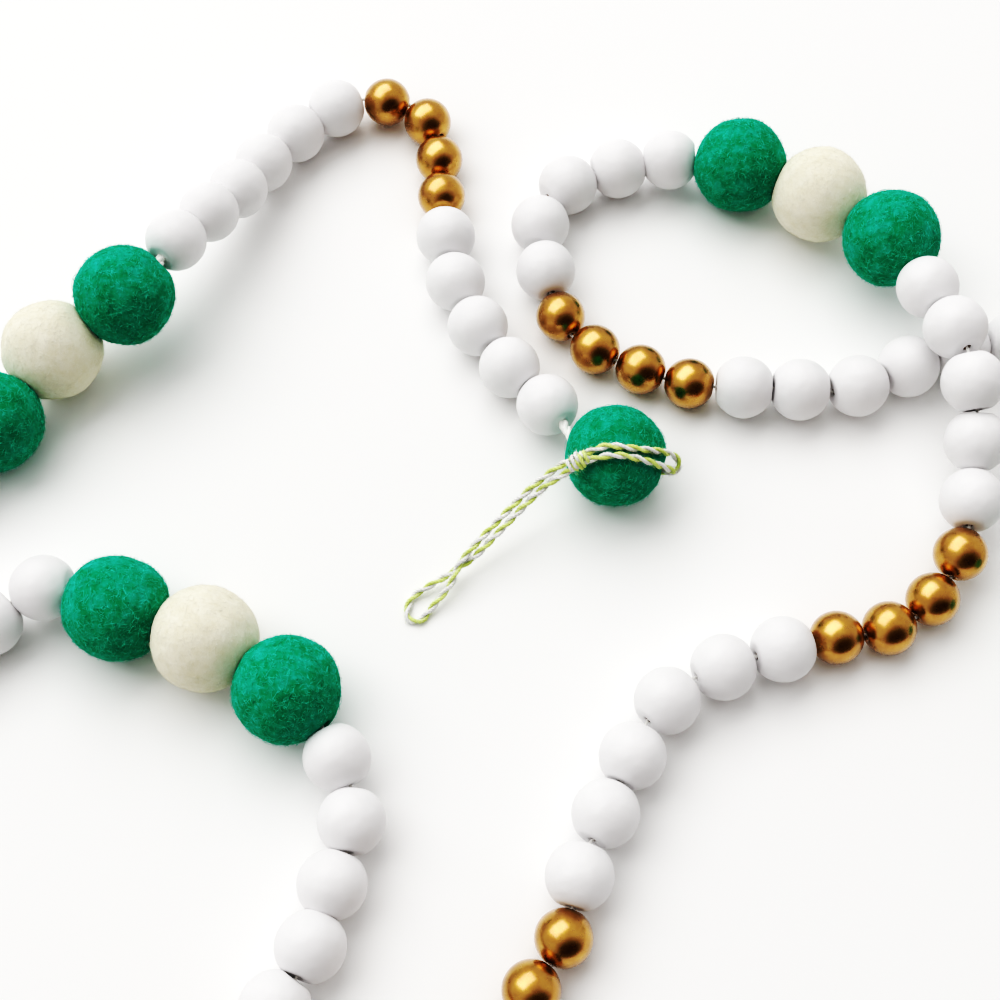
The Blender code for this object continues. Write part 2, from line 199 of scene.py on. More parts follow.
FAR_STRETCH = (
    (119.5, 43.5, 0.0),
    (134.5, 46.0, 0.0),
    (150.0, 47.0, 0.0),
    (166.0, 44.0, 0.0),
    (180.0, 36.0, 0.0),
    (190.0, 23.0, 0.0),
    (194.0, 7.0, 0.0),
    (191.0, -9.0, 0.0),
    (183.0, -23.0, 0.0),
    (172.0, -33.0, 9.5),
    (156.0, -42.0, 12.3),
    (140.0, -51.0, 12.3),
    (120.0, -61.0, 12.3),
)
ROUTE = (
    NEAR_STRETCH
    + LEFT_TURN
    + LEFT_STRETCH
    + FRONT_TURN
    + MIDDLE_STRETCH
    + OVER_THE_STRAND
    + BACK_STRETCH
    + FAR_STRETCH
)
ROUTE_STEPS = 40
LAY_PASSES = 5
AIM_PASSES = 3

# The outward directions of the end balls' holes, in degrees from +X
NEAR_END_DEG = -15.0
FAR_END_DEG = 208.0

# The twine's route from the rim of the near end ball's hole, round the loop and back,
# from the ball's centre. Both strands pass through the knot.
LOOP_ROUTE = (
    (11.7, -3.6, -0.9),
    (13.6, -4.2, -0.5),
    (15.6, -3.3, 0.6),
    (14.9, -1.8, 3.2),
    (11.6, -2.4, 7.2),
    (6.3, -4.0, 11.4),
    (1.3, -4.3, 13.0),
    (-2.7, -3.9, 12.9),
    (-6.4, -4.7, 11.8),
    (-9.6, -5.7, 10.3),
    (-13.9, -6.9, 7.8),
    (-21.1, -11.1, 3.2),
    (-31.5, -20.1, -3.3),
    (-37.9, -27.2, -6.2),
    (-40.3, -32.4, -8.1),
    (-44.6, -37.6, -10.5),
    (-47.5, -41.0, -11.4),
    (-50.2, -41.0, -11.4),
    (-51.0, -38.4, -11.4),
    (-49.6, -34.9, -11.1),
    (-45.6, -32.3, -10.0),
    (-40.4, -29.2, -8.9),
    (-34.3, -25.4, -6.3),
    (-29.0, -20.5, -3.3),
    (-18.7, -11.6, 3.2),
    (-13.6, -9.1, 6.6),
    (-9.6, -7.6, 9.6),
    (-6.0, -6.6, 11.2),
    (-1.1, -6.2, 12.4),
    (3.8, -6.4, 11.6),
    (8.2, -6.4, 9.2),
    (12.2, -5.9, 5.4),
    (14.0, -5.2, 2.8),
    (13.7, -4.0, 1.3),
    (11.7, -3.2, 0.9),
)
KNOT = {
    "centre": (-9.8, -6.8, 9.9),
    "direction": (-0.83, -0.37, -0.42),
    "length": 5.2,
    "radius": 1.6,
    "waist": 0.45,
    "turns": 3.6,
    "steps_a_turn": 40,
    "scale": 0.9,
}

# The twine's ends run on into the hole. Tucked is how far from the ball's centre they pass,
# and apart is how far each strand is from the hole's axis there.
TWINE = {
    "step": 0.4,
    "plies": 2,
    "ply_out": 0.46,
    "ply_pitch": 7.4,
    "yarns": 3,
    "yarn_out": 0.25,
    "yarn_pitch": 2.6,
    "yarn_radius": 0.28,
    "sides": 5,
    "tucked": (10.2, 8.4),
    "apart": 0.6,
}

# Stray fibres on the twine, which start at a share of its radius and keep off its ends
FUZZ = {
    "on_loop": 1400,
    "on_knot": 260,
    "off_ends": 2,
    "from_share": 0.8,
    "length": (0.6, 1.8),
    "lift": (0.25, 1.0),
    "lift_power": 1.5,
    "radius": (0.020, 0.034),
    "places": (0.0, 0.35, 0.7, 1.0),
}

# The string, which is full within open_reach of the mouths in sight: those between a bead
# whose number is in open_after and the next
STRING = {
    "step": 1.5,
    "plies": 3,
    "ply_out": 0.68,
    "pitch": 8.0,
    "ply_radius": 0.74,
    "sides": 6,
    "drawn_in": 0.30,
    "open_after": (0, 15),
    "open_reach": 3.0,
    "eases_over": 3.0,
}

# Turned beads: waves in the surface as (size, height), and the mesh's rings and sides
TURNED = {
    "white": {"waves": ((9.0, 0.16), (3.5, 0.05)), "bands": 9, "sides": 34},
    "gold": {"waves": ((6.0, 0.06),), "bands": 9, "sides": 32},
}
TURNED_WIDTHS = (0.985, 1.01)

# Steps in the rounding of a bead's outer edge and of its hole's rim
EDGE_STEPS = 4
RIM_STEPS = 3

# Where each form's own waves start in the noise
NOISE_REACH = 50.0

# Felt balls. Relief scales the fibres' thickness. A ball's ends are loose_half from its
# centre before its neighbours press it.
FELT = {
    "bands": 24,
    "sides": 72,
    "waves": ((9.0, 0.40), (3.6, 0.12), (2.2, 0.05)),
    "relief": {"green": 1.0, "cream": 0.5},
    "loose_half": 12.3,
    "press_gap": 0.06,
}

# The fibres of a felt ball. Those that are arched come back down to the felt, and the
# others stand off it at their far end.
FIBRES = (
    {
        "count": 1500,
        "length": (1.5, 4.5),
        "lift": (0.0, 0.05),
        "radius": (0.028, 0.050),
        "steps": 4,
        "arched": True,
    },
    {
        "count": 2000,
        "length": (0.7, 2.0),
        "lift": (0.15, 0.75),
        "radius": (0.026, 0.042),
        "steps": 4,
        "arched": False,
    },
    {
        "count": 34,
        "length": (4.0, 8.5),
        "lift": (0.12, 0.55),
        "radius": (0.026, 0.038),
        "steps": 9,
        "arched": True,
    },
)

# No fibre starts where its direction from the ball's centre is this much along the hole.
FIBRE_HOLE_SHARE = 0.93
FIBRE_BEND = 0.5
FIBRE_ROOT_DEPTH = 0.05
FIBRE_LIFT_POWER = 1.3

# The camera, which stands over the near side and looks down at the table
CAMERA_PLACE = (0.0, -173.05, 362.95)
CAMERA_DOWN_DEG = 64.51
CAMERA_ROLL_DEG = 1.38
CAMERA_FOCAL_PX = 1570.05
IMAGE_PX = 1000
SENSOR_MM = 36.0
CLIP_START_M = 0.01

# How the light that reaches the camera is shown: (light, shown) between none and white
CAMERA_RESPONSE = (
    (0.05, 0.013),
    (0.10, 0.046),
    (0.20, 0.215),
    (0.35, 0.465),
    (0.55, 0.67),
    (0.80, 0.855),
)
CAMERA_RESPONSE_END = (1.0, 0.96)

# The soft key light from the upper left, in metres and watts, and the pale room, which is
# dark low in front. The room's shades are placed by how much a direction is like that one.
KEY = {
    "towards": (-0.37, 0.44, 0.82),
    "distance": 2.4,
    "size": (3.2, 2.0),
    "power": 54.0,
    "colour": (1.0, 0.995, 0.98),
}
ROOM = {
    "dark_towards": (0.37, -0.84, 0.40),
    "light": (0.46, (1.0, 0.99, 0.98)),
    "dark": (0.90, (0.08, 0.05, 0.04)),
    "strength": 0.70,
}

UP = Vector((0.0, 0.0, 1.0))


def smooth_line(points, steps):
    """A dense line along a smooth curve through the points."""
    given = [Vector(p) for p in points]
    given = [2 * given[0] - given[1], *given, 2 * given[-1] - given[-2]]
    dense = []
    for a, b, c, d in zip(given, given[1:], given[2:], given[3:]):
        for step in range(steps):
            t = step / steps
            bend = (2 * a - 5 * b + 4 * c - d) * t**2 + (3 * b - a - 3 * c + d) * t**3
            dense.append(0.5 * (2 * b + (c - a) * t + bend))
    return [*dense, given[-2]]


def even_line(points, step):
    """The same line, with a point about every step."""
    walked = [0.0]
    for a, b in zip(points, points[1:]):
        walked.append(walked[-1] + (b - a).length)
    count = round(walked[-1] / step)
    even = []
    place = 0
    for number in range(count + 1):
        wanted = walked[-1] * number / count
        while place < len(points) - 2 and walked[place + 1] < wanted:
            place += 1
        share = (wanted - walked[place]) / (walked[place + 1] - walked[place])
        even.append(points[place].lerp(points[place + 1], share))
    return even


def flat_radius(size):
    """The radius of the flat round the hole at a bead's end."""
    return math.sqrt(size["radius"] ** 2 - (size["length"] / 2) ** 2)


def reach(size, tilt):
    """How far a bead tilted on the string reaches towards its neighbour."""
    edge = math.asin(flat_radius(size) / size["radius"])
    return size["radius"] * math.cos(max(0.0, edge - tilt))


def rest_height(size):
    return size["radius"] - (FELT_SQUASH if size["felt"] else 0.0)


def turned(degrees):
    angle = math.radians(degrees)
    return Vector((math.cos(angle), math.sin(angle), 0.0))


def mouths(bead):
    """The centres of the hole's two ends, in the string's order."""
    half = bead["axis"] * bead["size"]["length"] / 2
    return bead["centre"] - half, bead["centre"] + half


def strung_beads():
    """One entry for each bead, with the loose string before it."""
    beads = []
    for number, run in enumerate(RUNS):
        for place in range(run["count"]):
            bead = {"kind": run["kind"], "size": KINDS[run["kind"]], "run": number}
            bead["room"] = run["between"] if place else run["before"]
            bead["reach_back"] = bead["reach_ahead"] = bead["size"]["length"] / 2
            beads.append(bead)
    return beads


def walk_along(line, beads):
    """Centres each bead on the line, as far from the one before as the two reach."""
    place = 0
    beads[0]["centre"] = line[0].copy()
    for before, bead in zip(beads, beads[1:]):
        low = rest_height(bead["size"])
        wanted = before["reach_ahead"] + bead["room"] + bead["reach_back"]
        last = before["centre"]
        last_far = 0.0
        for place in range(place, len(line)):
            point = line[place].copy()
            point.z = max(point.z, low)
            far = (point - before["centre"]).length
            if far >= wanted:
                break
            last, last_far = point, far
        bead["centre"] = last.lerp(point, (wanted - last_far) / (far - last_far))


def aim_holes(beads):
    """Points each hole along the line, then towards its neighbours' holes, so that the
    string runs smoothly. The end balls have their own direction."""
    beads[0]["axis"] = -turned(NEAR_END_DEG)
    beads[-1]["axis"] = turned(FAR_END_DEG)
    for before, bead, after in zip(beads, beads[1:], beads[2:]):
        into = (bead["centre"] - before["centre"]).normalized()
        out = (after["centre"] - bead["centre"]).normalized()
        bead["axis"] = (into + out).normalized()
    for _ in range(AIM_PASSES):
        for before, bead, after in zip(beads, beads[1:], beads[2:]):
            towards = (mouths(after)[0] - mouths(before)[1]).normalized()
            bead["axis"] = (bead["axis"] + towards).normalized()


def measure_reaches(beads):
    """How far each bead reaches back and ahead, now that it is turned."""
    for before, bead in zip(beads, beads[1:]):
        between = bead["centre"] - before["centre"]
        before["reach_ahead"] = reach(before["size"], before["axis"].angle(between))
        bead["reach_back"] = reach(bead["size"], bead["axis"].angle(between))


def lay_beads():
    """Every bead with its centre and the direction of its hole, in the frame's own place."""
    line = smooth_line(ROUTE, ROUTE_STEPS)
    beads = strung_beads()
    for _ in range(LAY_PASSES):
        walk_along(line, beads)
        aim_holes(beads)
        measure_reaches(beads)
    shift = frame_shift()
    for bead in beads:
        bead["centre"] += shift
    return beads


def frame_shift():
    """From the route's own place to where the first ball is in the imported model."""
    low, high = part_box("green_ball_01")
    shift = (low + high) / 2 / MM - Vector(ROUTE[0])
    shift.z = 0.0
    return shift


def string_between(before, after):
    """The string's corners between two beads: one where they nearly touch, or one at each mouth."""
    leave = mouths(before)[1]
    enter = mouths(after)[0]
    if (enter - leave).length < SHORT_GAP:
        return [(leave + enter) / 2]
    return [leave, enter]


def add_camera():
    """The photograph's own view of the table."""
    down = math.radians(CAMERA_DOWN_DEG)
    roll = math.radians(CAMERA_ROLL_DEG)
    ahead = Vector((0.0, math.cos(down), -math.sin(down)))
    level_up = Vector((0.0, math.sin(down), math.cos(down)))
    right = math.cos(roll) * Vector((1.0, 0.0, 0.0)) + math.sin(roll) * level_up
    up = right.cross(ahead)
    turn = Matrix((right, up, -ahead)).transposed().to_4x4()
    camera = bpy.data.objects.new("camera", bpy.data.cameras.new("camera"))
    camera.data.sensor_width = SENSOR_MM
    camera.data.lens = SENSOR_MM * CAMERA_FOCAL_PX / IMAGE_PX
    camera.data.clip_start = CLIP_START_M
    camera.matrix_world = Matrix.Translation((Vector(CAMERA_PLACE) + frame_shift()) * MM) @ turn
    bpy.context.scene.collection.objects.link(camera)
    bpy.context.scene.camera = camera


# Materials


def new_material(name, colour, roughness, metallic=0.0):
    """A material with its shader's plain values set."""
    material = bpy.data.materials.new(name)
    material.use_nodes = True
    shader = material.node_tree.nodes["Principled BSDF"]
    shader.inputs["Base Color"].default_value = (*colour, 1.0)
    shader.inputs["Roughness"].default_value = roughness
    shader.inputs["Metallic"].default_value = metallic
    return material


def add_noise(material, scale, detail=2.0, stretch=None):
    """A noise texture over the surface, its scale in waves for each metre."""
    nodes, links = material.node_tree.nodes, material.node_tree.links
    place = nodes.new("ShaderNodeTexCoord").outputs["Object"]
    if stretch:
        mapping = nodes.new("ShaderNodeMapping")
        mapping.inputs["Scale"].default_value = stretch
        links.new(place, mapping.inputs["Vector"])
        place = mapping.outputs["Vector"]
    texture = nodes.new("ShaderNodeTexNoise")
    texture.inputs["Scale"].default_value = scale
    texture.inputs["Detail"].default_value = detail
    links.new(place, texture.inputs["Vector"])
    return texture.outputs["Fac"]


def ramped(material, source, stops):
    """A colour ramp over a noise."""
    nodes, links = material.node_tree.nodes, material.node_tree.links
    ramp = nodes.new("ShaderNodeValToRGB")
    elements = ramp.color_ramp.elements
    while len(elements) < len(stops):
        elements.new(0.5)
    for element, (place, colour) in zip(elements, stops):
        element.position = place
        element.color = (*colour, 1.0)
    links.new(source, ramp.inputs["Fac"])
    return ramp.outputs["Color"]


def mixed(material, one, other, share):
    """Two colours mixed by a fixed share."""
    nodes, links = material.node_tree.nodes, material.node_tree.links
    mix = nodes.new("ShaderNodeMix")
    mix.data_type = "RGBA"
    mix.inputs["Factor"].default_value = share
    links.new(one, mix.inputs["A"])
    links.new(other, mix.inputs["B"])
    return mix.outputs["Result"]


def set_colour(material, source):
    """Gives the shader a colour that varies over the surface."""
    shader = material.node_tree.nodes["Principled BSDF"]
    material.node_tree.links.new(source, shader.inputs["Base Color"])


def set_roughness(material, source, low, high):
    """Lets the roughness wander between two values with a noise."""
    nodes, links = material.node_tree.nodes, material.node_tree.links
    spread = nodes.new("ShaderNodeMapRange")
    spread.inputs["To Min"].default_value = low
    spread.inputs["To Max"].default_value = high
    links.new(source, spread.inputs["Value"])
    links.new(spread.outputs["Result"], nodes["Principled BSDF"].inputs["Roughness"])


def set_bumps(material, *bumps):
    """Fine relief from noises, each with its height in millimetres."""
    nodes, links = material.node_tree.nodes, material.node_tree.links
    normal = None
    for source, height in bumps:
        bump = nodes.new("ShaderNodeBump")
        bump.inputs["Distance"].default_value = height * MM
        links.new(source, bump.inputs["Height"])
        if normal:
            links.new(normal, bump.inputs["Normal"])
        normal = bump.outputs["Normal"]
    links.new(normal, nodes["Principled BSDF"].inputs["Normal"])


def white_paint():
    """Satin paint over turned wood, with brush waves and faint grain under it."""
    material = new_material("white_paint", (0.78, 0.775, 0.78), 0.5)
    cloud = add_noise(material, 160.0)
    tints = ((0.3, (0.765, 0.757, 0.765)), (0.7, (0.80, 0.792, 0.798)))
    set_colour(material, ramped(material, cloud, tints))
    set_roughness(material, add_noise(material, 500.0), 0.42, 0.58)
    waves = add_noise(material, 260.0, 1.0)
    grain = add_noise(material, 1500.0, 3.0, stretch=(1.0, 1.0, 0.25))
    set_bumps(material, (waves, 0.22), (grain, 0.03))
    return material


def raw_wood_and_painted_shade():
    """The unpainted wall of a drilled hole, in a dark brown that is partly the wood's own colour
    and partly painted shade of the hole's inside.
    """
    # Painted shade: the hole wall's dark brown stands in partly for the shade inside the hole
    material = new_material("raw_wood_and_painted_shade", (0.20, 0.11, 0.05), 0.9)
    grain = add_noise(material, 1800.0, 3.0)
    tints = ((0.3, (0.10, 0.05, 0.02)), (0.7, (0.28, 0.16, 0.08)))
    set_colour(material, ramped(material, grain, tints))
    set_bumps(material, (grain, 0.08))
    return material


def satin_gold():
    """Gold paint with a fine metallic grain and browner clouds, under a clear coat."""
    material = new_material("satin_gold", (0.66, 0.38, 0.08), 0.3, metallic=1.0)
    cloud = add_noise(material, 330.0, 4.0)
    tints = (
        (0.30, (0.35, 0.16, 0.018)),
        (0.48, (0.42, 0.205, 0.028)),
        (0.72, (0.50, 0.27, 0.05)),
    )
    set_colour(material, ramped(material, cloud, tints))
    set_roughness(material, add_noise(material, 900.0, 3.0), 0.24, 0.33)
    flakes = add_noise(material, 5200.0, 2.0)
    waves = add_noise(material, 420.0, 2.0)
    set_bumps(material, (waves, 0.06), (flakes, 0.012))
    shader = material.node_tree.nodes["Principled BSDF"]
    shader.inputs["Coat Weight"].default_value = 0.7
    shader.inputs["Coat Roughness"].default_value = 0.2
    shader.inputs["Coat IOR"].default_value = 1.9
    return material


def felt(name, dark, middle, light):
    """Wool felt: mottled at two scales, with the short streaks of matted fibres."""
    material = new_material(name, middle, 1.0)
    shader = material.node_tree.nodes["Principled BSDF"]
    shader.inputs["Sheen Weight"].default_value = 0.25
    shader.inputs["Sheen Roughness"].default_value = 0.6
    shader.inputs["Sheen Tint"].default_value = (*light, 1.0)
    shader.inputs["Specular IOR Level"].default_value = 0.1
    stops = ((0.28, dark), (0.5, middle), (0.74, light))
    mottle = ramped(material, add_noise(material, 240.0, 3.0), stops)
    fine = ramped(material, add_noise(material, 1300.0, 4.0), stops)
    across = add_noise(material, 900.0, 3.0, stretch=(1.0, 0.22, 0.6))
    along = add_noise(material, 900.0, 3.0, stretch=(0.22, 1.0, 0.6))
    crossing = ramped(material, across, stops)
    streaks = mixed(material, crossing, ramped(material, along, stops), 0.5)
    mottled = mixed(material, mottle, fine, 0.35)
    set_colour(material, mixed(material, mottled, streaks, 0.4))
    hairs = add_noise(material, 3200.0, 3.0)
    set_bumps(material, (across, 0.04), (along, 0.04), (hairs, 0.05))
    return material


def fibre(name, dark, light):
    """Loose fibres, with a little sheen at the edge."""
    material = new_material(name, light, 0.8)
    shader = material.node_tree.nodes["Principled BSDF"]
    shader.inputs["Specular IOR Level"].default_value = 0.15
    shader.inputs["Sheen Weight"].default_value = 0.4
    shader.inputs["Sheen Tint"].default_value = (*light, 1.0)
    cloud = add_noise(material, 700.0)
    set_colour(material, ramped(material, cloud, ((0.35, dark), (0.65, light))))
    return material


def yarn(name, dark, light):
    """Cotton yarn with the fine slant of its twist."""
    material = new_material(name, light, 0.85)
    shader = material.node_tree.nodes["Principled BSDF"]
    shader.inputs["Specular IOR Level"].default_value = 0.2
    shader.inputs["Sheen Weight"].default_value = 0.3
    cloud = ramped(material, add_noise(material, 420.0), ((0.3, dark), (0.6, light)))
    strands = add_noise(material, 3800.0, 2.0, stretch=(1.0, 0.4, 0.7))
    slant = ramped(material, strands, ((0.3, dark), (0.55, light)))
    set_colour(material, mixed(material, cloud, slant, 0.5))
    set_bumps(material, (strands, 0.08))
    return material


def floor_material():
    """A white table top."""
    material = new_material("table_top", (0.93, 0.93, 0.925), 0.7)
    shader = material.node_tree.nodes["Principled BSDF"]
    shader.inputs["Specular IOR Level"].default_value = 0.1
    return material


# Meshes


def frame_of(axis):
    """Two directions across an axis, which turn about it the right way round."""
    one = axis.orthogonal().normalized()
    return one, axis.cross(one).normalized()


def ring_quads(rings, sides, first=0, closed=False):
    """The faces over a stack of rings, numbered from the first corner."""
    ring = np.arange(rings if closed else rings - 1)[:, None]
    side = np.arange(sides)[None, :]
    after = (ring + 1) % rings
    beside = (side + 1) % sides
    here, next_ring = ring * sides, after * sides
    quads = (here + side, here + beside, next_ring + beside, next_ring + side)
    return np.stack(quads, -1).reshape(-1, 4) + first


class Shape:
    """Points and faces gathered from many small forms into one mesh."""

    def __init__(self):
        self.points = []
        self.faces = []
        self.slots = []
        self.count = 0

    def add(self, points, faces, slots):
        """Faces count their corners from this form's own first point."""
        self.points.append(points)
        self.faces.append(faces + self.count)
        self.slots.append(np.broadcast_to(slots, len(faces)))
        self.count += len(points)

    def to_object(self, name, materials, nodes):
        """The finished piece, which rides on the frame in its nodes' place."""
        mesh = bpy.data.meshes.new(name)
        faces = [face.tolist() for group in self.faces for face in group]
        mesh.from_pydata((np.concatenate(self.points) * MM).tolist(), [], faces)
        for material in materials:
            mesh.materials.append(material)
        mesh.polygons.foreach_set("material_index", np.concatenate(self.slots).astype(np.int32))
        mesh.shade_smooth()
        obj = bpy.data.objects.new(name, mesh)
        bpy.context.scene.collection.objects.link(obj)
        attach(obj, "root")
        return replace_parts(obj, *nodes)


def rounded_corner(start, corner, end, count):
    """Points from start to end, bending at the corner."""
    points = []
    for number in range(1, count + 1):
        t = number / count
        shares = ((1 - t) ** 2, 2 * t * (1 - t), t * t)
        point = [
            shares[0] * a + shares[1] * b + shares[2] * c for a, b, c in zip(start, corner, end)
        ]
        points.append(tuple(point))
    return points


def bead_profile(size, bands):
    """Half of a bead's outline as (along the hole, out from it), from its widest place over
    the rounded end to the middle of the hole, and how many of the points are outside it. A
    felt ball has its loose length, before its neighbours press it."""
    radius, half = size["radius"], size["length"] / 2
    if size["felt"]:
        half = FELT["loose_half"]
    last = math.asin(half / radius) - size["edge"] / radius
    outline = []
    for number in range(bands + 1):
        latitude = last * number / bands
        outline.append((radius * math.sin(latitude), radius * math.cos(latitude)))
    flat = math.sqrt(radius**2 - half**2)
    edge_end = (half, flat - size["edge"] / 2)
    outline += rounded_corner(outline[-1], (half, flat), edge_end, EDGE_STEPS)
    hole, rim = size["hole"], size["rim"]
    outline.append((half, hole + rim))
    outline += rounded_corner(outline[-1], (half, hole), (half - rim, hole), RIM_STEPS)
    outside = len(outline)
    outline.append((half * 0.5, hole))
    outline.append((0.0, hole))
    return outline, outside


def bead_form(bead, bands, sides, spin, scale):
    """A bead's points and faces round its own centre, and which faces are inside the hole."""
    outline, outside = bead_profile(bead["size"], bands)
    back = [(-along, out) for along, out in outline[-2:0:-1]]
    loop = np.array(outline + back)
    one, other = frame_of(bead["axis"])
    angles = spin + 2 * math.pi * np.arange(sides) / sides
    out = np.cos(angles)[:, None] * np.array(one) + np.sin(angles)[:, None] * np.array(other)
    along = np.array(bead["axis"])
    points = loop[:, 0, None, None] * along + loop[:, 1, None, None] * out[None, :, :] * scale
    faces = ring_quads(len(loop), sides, closed=True)
    ring = np.arange(len(loop))
    inside = (ring >= outside - 1) & (ring < len(loop) - outside + 1)
    return points.reshape(-1, 3), faces, np.repeat(inside, sides)


def random_place(rng):
    """Where a form's own waves start in the noise."""
    return Vector(rng.uniform(-NOISE_REACH, NOISE_REACH, 3))


def wavy(points, waves, seed):
    """How far each point moves outwards, from noises of given size and height."""
    moves = np.zeros(len(points))
    for size, height in waves:
        for number, point in enumerate(points):
            moves[number] += height * noise.noise(Vector(point) / size + seed)
    return moves


def pushed_out(points, moves):
    """Points moved away from the form's own centre."""
    far = np.linalg.norm(points, axis=1)
    return points * (1 + moves / np.maximum(far, 1e-6))[:, None]


def kept_off_table(points):
    """Points raised to just above the table where they would be in it."""
    points[:, 2] = np.maximum(points[:, 2], TABLE_CLEARANCE)
    return points


# Turned beads


def add_beads(name, beads, materials, nodes, rng):
    """Wooden or gold beads, each turned and shaped a little differently."""
    made = TURNED[beads[0]["kind"]]
    shape = Shape()
    for bead in beads:
        spin = rng.uniform(0, 2 * math.pi)
        width = rng.uniform(*TURNED_WIDTHS)
        points, faces, inside = bead_form(bead, made["bands"], made["sides"], spin, width)
        moves = wavy(points, made["waves"], random_place(rng))
        points = pushed_out(points, moves) + np.array(bead["centre"])
        shape.add(kept_off_table(points), faces, inside.astype(int))
    shape.to_object(name, materials, nodes)


# Felt balls


def fibre_lines(rng, bead, seed, kind):
    """Fibres over a ball, as lines of points from its centre, and the way out at each."""
    radius = bead["size"]["radius"]
    steps = kind["steps"]
    out = rng.normal(size=(kind["count"] * 2, 3))
    out /= np.linalg.norm(out, axis=1)[:, None]
    off_hole = np.abs(out @ np.array(bead["axis"])) < FIBRE_HOLE_SHARE
    out = out[off_hole][: kind["count"]]
    heading = np.cross(out, rng.normal(size=out.shape))
    heading /= np.linalg.norm(heading, axis=1)[:, None]
    step = rng.uniform(*kind["length"], len(out)) / radius / (steps - 1)
    bend = rng.normal(0, FIBRE_BEND, len(out))
    lift = rng.uniform(*kind["lift"], len(out))
    lines = []
    ways = []
    for number in range(steps):
        t = number / (steps - 1)
        rise = math.sin(math.pi * t) if kind["arched"] else t**FIBRE_LIFT_POWER
        height = lift * rise - FIBRE_ROOT_DEPTH * (1 - rise)
        moves = wavy(out * radius, FELT["waves"], seed)
        lines.append(out * (radius + moves + height)[:, None])
        ways.append(out)
        side = np.cross(out, heading)
        heading = heading * np.cos(bend)[:, None] + side * np.sin(bend)[:, None]
        ahead = out * np.cos(step)[:, None] + heading * np.sin(step)[:, None]
        heading = heading * np.cos(step)[:, None] - out * np.sin(step)[:, None]
        out = ahead
    return np.stack(lines, 1), np.stack(ways, 1)


def add_fibres(shape, lines, ways, radii, slot):
    """A thin three-sided spindle along each line."""
    count, steps = lines.shape[:2]
    along = np.gradient(lines, axis=1)
    side = np.cross(ways, along)
    side /= np.maximum(np.linalg.norm(side, axis=2), 1e-9)[:, :, None]
    corners = []
    for angle in (0.0, 2 * math.pi / 3, 4 * math.pi / 3):
        offset = side * math.cos(angle) + ways * math.sin(angle)
        corners.append(lines + offset * radii[:, None, None])
    body = np.stack(corners, 2)[:, 1:-1]
    points = np.concatenate((lines[:, :1], body.reshape(count, -1, 3), lines[:, -1:]), 1)
    each = points.shape[1]
    faces = []
    for number in range(3):
        beside = (number + 1) % 3
        faces.append((0, 1 + beside, 1 + number))
        faces.append((each - 1, each - 4 + number, each - 4 + beside))
    triangles = np.array(faces)
    quads = ring_quads(steps - 2, 3, first=1)
    starts = np.arange(count)[:, None, None] * each
    flat = points.reshape(-1, 3)
    shape.add(flat, (triangles[None] + starts).reshape(-1, 3), slot)
    shape.count -= len(flat)
    shape.add(np.zeros((0, 3)), (quads[None] + starts).reshape(-1, 4), slot)
    shape.count += len(flat)


def pressed_in(points, bead, neighbours):
    """Points round a felt ball's centre, drawn in where its neighbours press into it: a
    wooden bead leaves its own round dent, and two felt balls flatten each other."""
    far = np.maximum(np.linalg.norm(points, axis=1), 1e-6)
    out = points / far[:, None]
    room = far.copy()
    for other in neighbours:
        towards = np.array(other["centre"] - bead["centre"])
        apart = np.linalg.norm(towards)
        ahead = out @ towards
        if other["size"]["felt"]:
            limit = (apart / 2 - FELT["press_gap"]) * apart / np.maximum(ahead, 1e-6)
            room = np.where(ahead > 0, np.minimum(room, limit), room)
        else:
            reached = other["size"]["radius"] + FELT["press_gap"]
            inside = ahead**2 - apart**2 + reached**2
            entry = ahead - np.sqrt(np.maximum(inside, 0))
            room = np.where((ahead > 0) & (inside > 0), np.minimum(room, entry), room)
    return out * room[:, None]


def add_felt_ball(node, bead, neighbours, materials, rng):
    """A felt ball with its matted surface, its flat on the table and its loose fibres."""
    shape = Shape()
    seed = random_place(rng)
    points, faces, _ = bead_form(bead, FELT["bands"], FELT["sides"], 0.0, 1.0)
    points = pushed_out(points, wavy(points, FELT["waves"], seed))
    shape.add(points, faces, 0)
    relief = FELT["relief"][bead["kind"]]
    for kind in FIBRES:
        lines, ways = fibre_lines(rng, bead, seed, kind)
        radii = relief * rng.uniform(*kind["radius"], len(lines))
        add_fibres(shape, lines, ways, radii, 1)
    for number, points in enumerate(shape.points):
        placed = pressed_in(points, bead, neighbours) + np.array(bead["centre"])
        shape.points[number] = kept_off_table(placed)
    shape.to_object(node + "_felt", materials, [node])


# String and twine


def frames_along(points):
    """The direction of a line at each point, and two directions across it that don't twist."""
    along = np.gradient(points, axis=0)
    along /= np.linalg.norm(along, axis=1)[:, None]
    one = np.empty_like(points)
    one[0] = np.array(Vector(along[0]).orthogonal().normalized())
    for number in range(1, len(points)):
        carried = one[number - 1] - along[number] * (one[number - 1] @ along[number])
        one[number] = carried / np.linalg.norm(carried)
    return along, one, np.cross(along, one)


def wound(points, out, pitch, phase):
    """A line wound round another."""
    _, one, other = frames_along(points)
    steps = np.linalg.norm(np.diff(points, axis=0), axis=1)
    walked = np.concatenate(([0.0], np.cumsum(steps)))
    angle = (2 * math.pi * walked / pitch + phase)[:, None]
    return points + out * (np.cos(angle) * one + np.sin(angle) * other)


def add_tube(shape, points, radius, sides, slot):
    """A closed tube along a line, with a face at each end."""
    _, one, other = frames_along(points)
    angles = (2 * math.pi * np.arange(sides) / sides)[None, :, None]
    out = np.cos(angles) * one[:, None] + np.sin(angles) * other[:, None]
    corners = (points[:, None] + radius * out).reshape(-1, 3)
    shape.add(corners, ring_quads(len(points), sides), slot)
    shape.count -= len(corners)
    ends = np.array((np.arange(sides)[::-1], np.arange(sides) + len(corners) - sides))
    shape.add(np.zeros((0, 3)), ends, slot)
    shape.count += len(corners)


